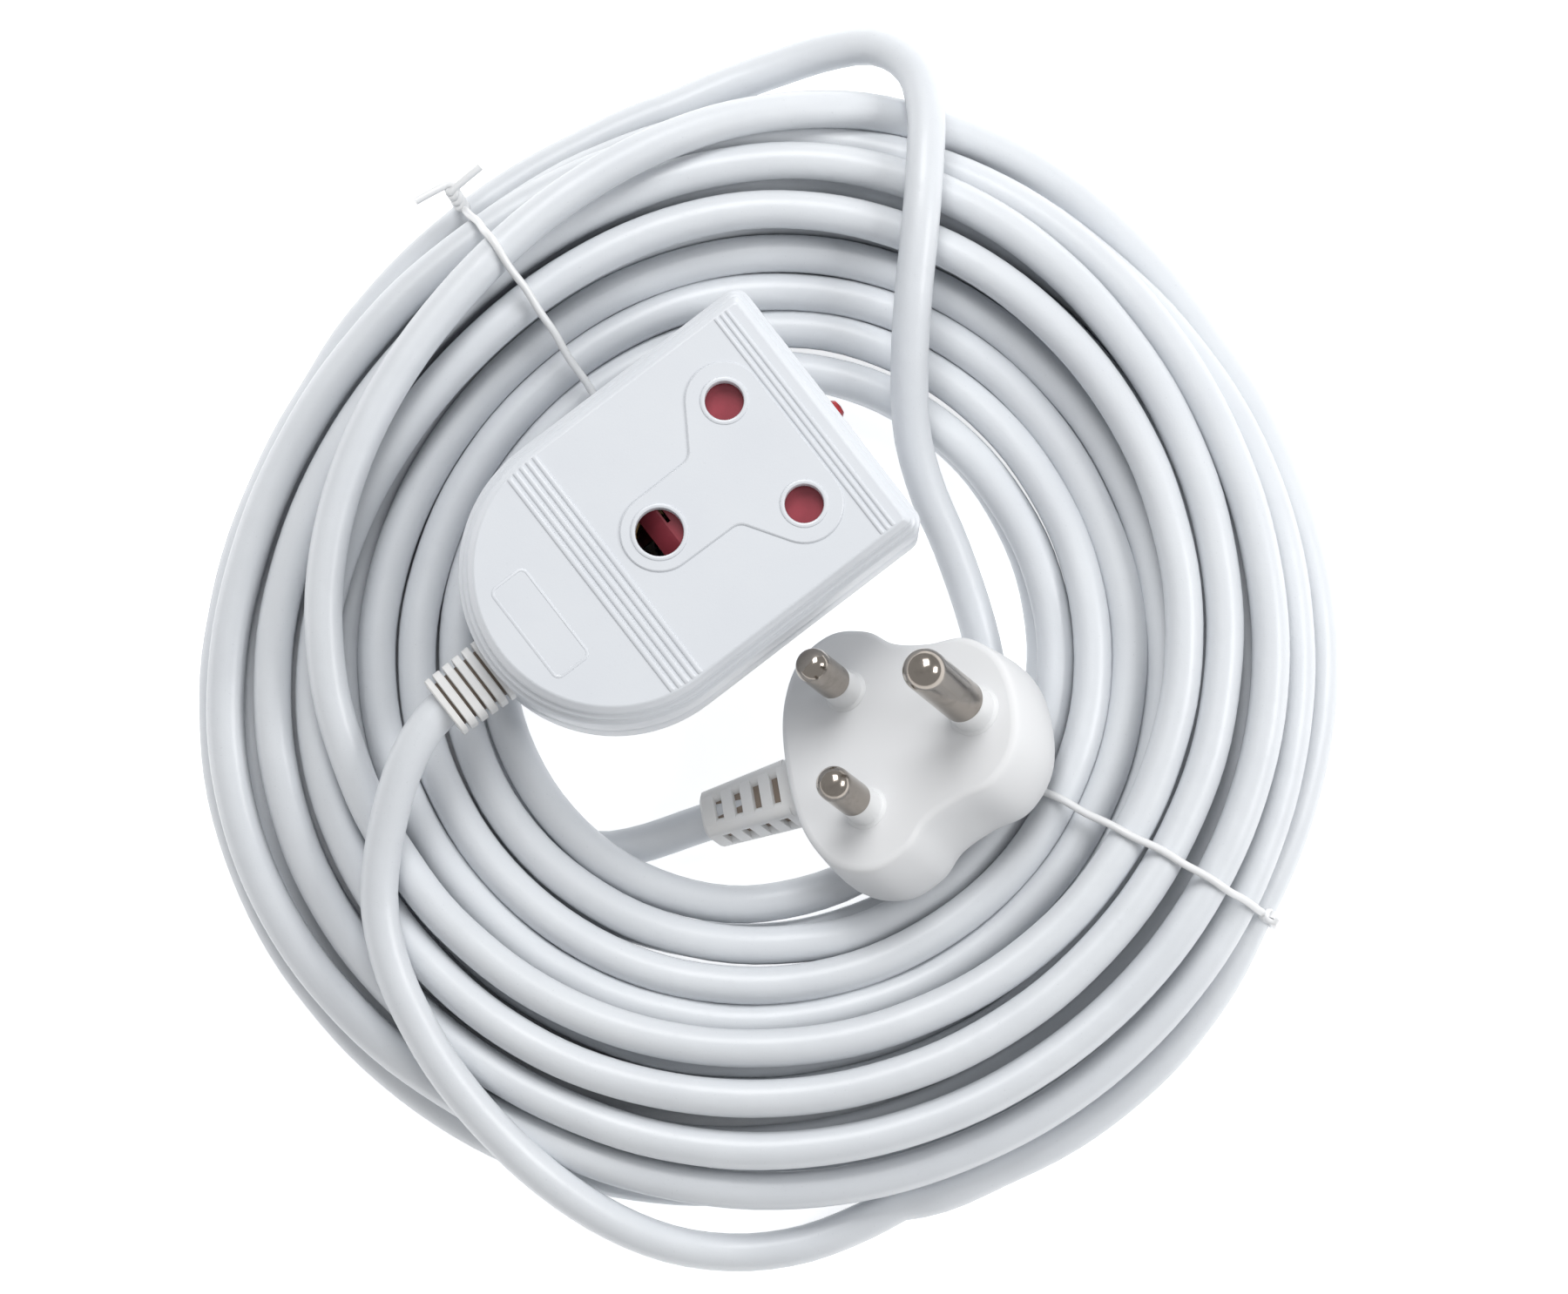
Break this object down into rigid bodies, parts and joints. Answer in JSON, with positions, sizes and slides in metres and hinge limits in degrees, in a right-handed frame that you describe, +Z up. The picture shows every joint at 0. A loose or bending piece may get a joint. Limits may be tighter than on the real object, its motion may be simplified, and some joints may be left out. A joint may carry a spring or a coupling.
{
  "type": "extension cord",
  "caption": "Coiled white extension lead with a moulded three-pin plug and a double-sided trailing socket with red sprung shutters.",
  "frame": {"origin": "on the floor under the middle of the coil's front band (the coil's centre is 82 mm along +Y)", "axes": "+Z up, out of the socket's front face; +Y from the front band across the coil to its centre; +X to the side that the socket's far end points towards"},
  "size_m": [0.228, 0.2503, 0.0638],
  "materials": {
    "flex": "satin white flexible PVC",
    "shell": "smooth white moulded plastic",
    "plug_pvc": "satin grey-white moulded PVC",
    "relief": "satin white flexible PVC",
    "shutter_red": "smooth dark red plastic",
    "lens_red": "clear red lens",
    "lamp_glass": "small neon lamp",
    "brass": "bright",
    "nickel": "nickel-plated, polished",
    "steel": "zinc-plated",
    "carrier": "black moulded carrier",
    "sleeve": "white insulating plastic",
    "tie": "white plastic-coated wire",
    "core_live": "brown core",
    "core_neutral": "blue core",
    "core_earth": "green and yellow core"
  },
  "bodies": {
    "lead": {"cord_coil": "flex", "coupler_lead": "flex", "crossing_loop": "flex", "plug_lead": "flex", "coupler_cord_tail": "flex", "plug_cord_tail": "flex", "wire_tie_upper": "tie", "wire_tie_lower": "tie", "front_cover": "shell", "back_cover": "shell", "front_shutter_spring": "steel", "back_shutter_spring": "steel", "contact_carrier": "carrier", "cover_screw_1": "steel", "cover_screw_2": "steel", "cover_screw_3": "steel", "cover_screw_4": "steel", "cord_clamp": "carrier", "clamp_screw_1": "steel", "clamp_screw_2": "steel", "indicator_lens": "lens_red", "indicator_lamp": "lamp_glass", "coupler_strain_relief": "relief", "plug_body": "plug_pvc", "plug_pin_bridge": "sleeve", "plug_strain_relief": "relief", "live_contact_bar": "brass", "live_front_grip": "brass", "live_back_grip": "brass", "live_terminal_screw": "steel", "live_core": "core_live", "plug_live_pin": "nickel", "plug_live_pin_sleeve": "sleeve", "neutral_contact_bar": "brass", "neutral_front_grip": "brass", "neutral_back_grip": "brass", "neutral_terminal_screw": "steel", "neutral_core": "core_neutral", "plug_neutral_pin": "nickel", "plug_neutral_pin_sleeve": "sleeve", "earth_contact_bar": "brass", "earth_front_grip": "brass", "earth_back_grip": "brass", "earth_terminal_screw": "steel", "earth_core": "core_earth", "plug_earth_pin": "nickel", "plug_earth_pin_sleeve": "sleeve"},
    "front_shutter": {"front_shutter": "shutter_red"},
    "back_shutter": {"back_shutter": "shutter_red"}
  },
  "joints": [
    {"name": "front_shutter_slide", "type": "slide", "parent": "lead", "child": "front_shutter", "axis": [0.7923, 0.6101, 0], "range_m": [0, 0.008], "stiffness_N_per_m": 60, "springref_m": -0.003, "deforming": ["front_shutter_spring"]},
    {"name": "back_shutter_slide", "type": "slide", "parent": "lead", "child": "back_shutter", "axis": [-0.7923, -0.6101, 0], "range_m": [0, 0.008], "stiffness_N_per_m": 60, "springref_m": -0.003, "deforming": ["back_shutter_spring"]}
  ]
}
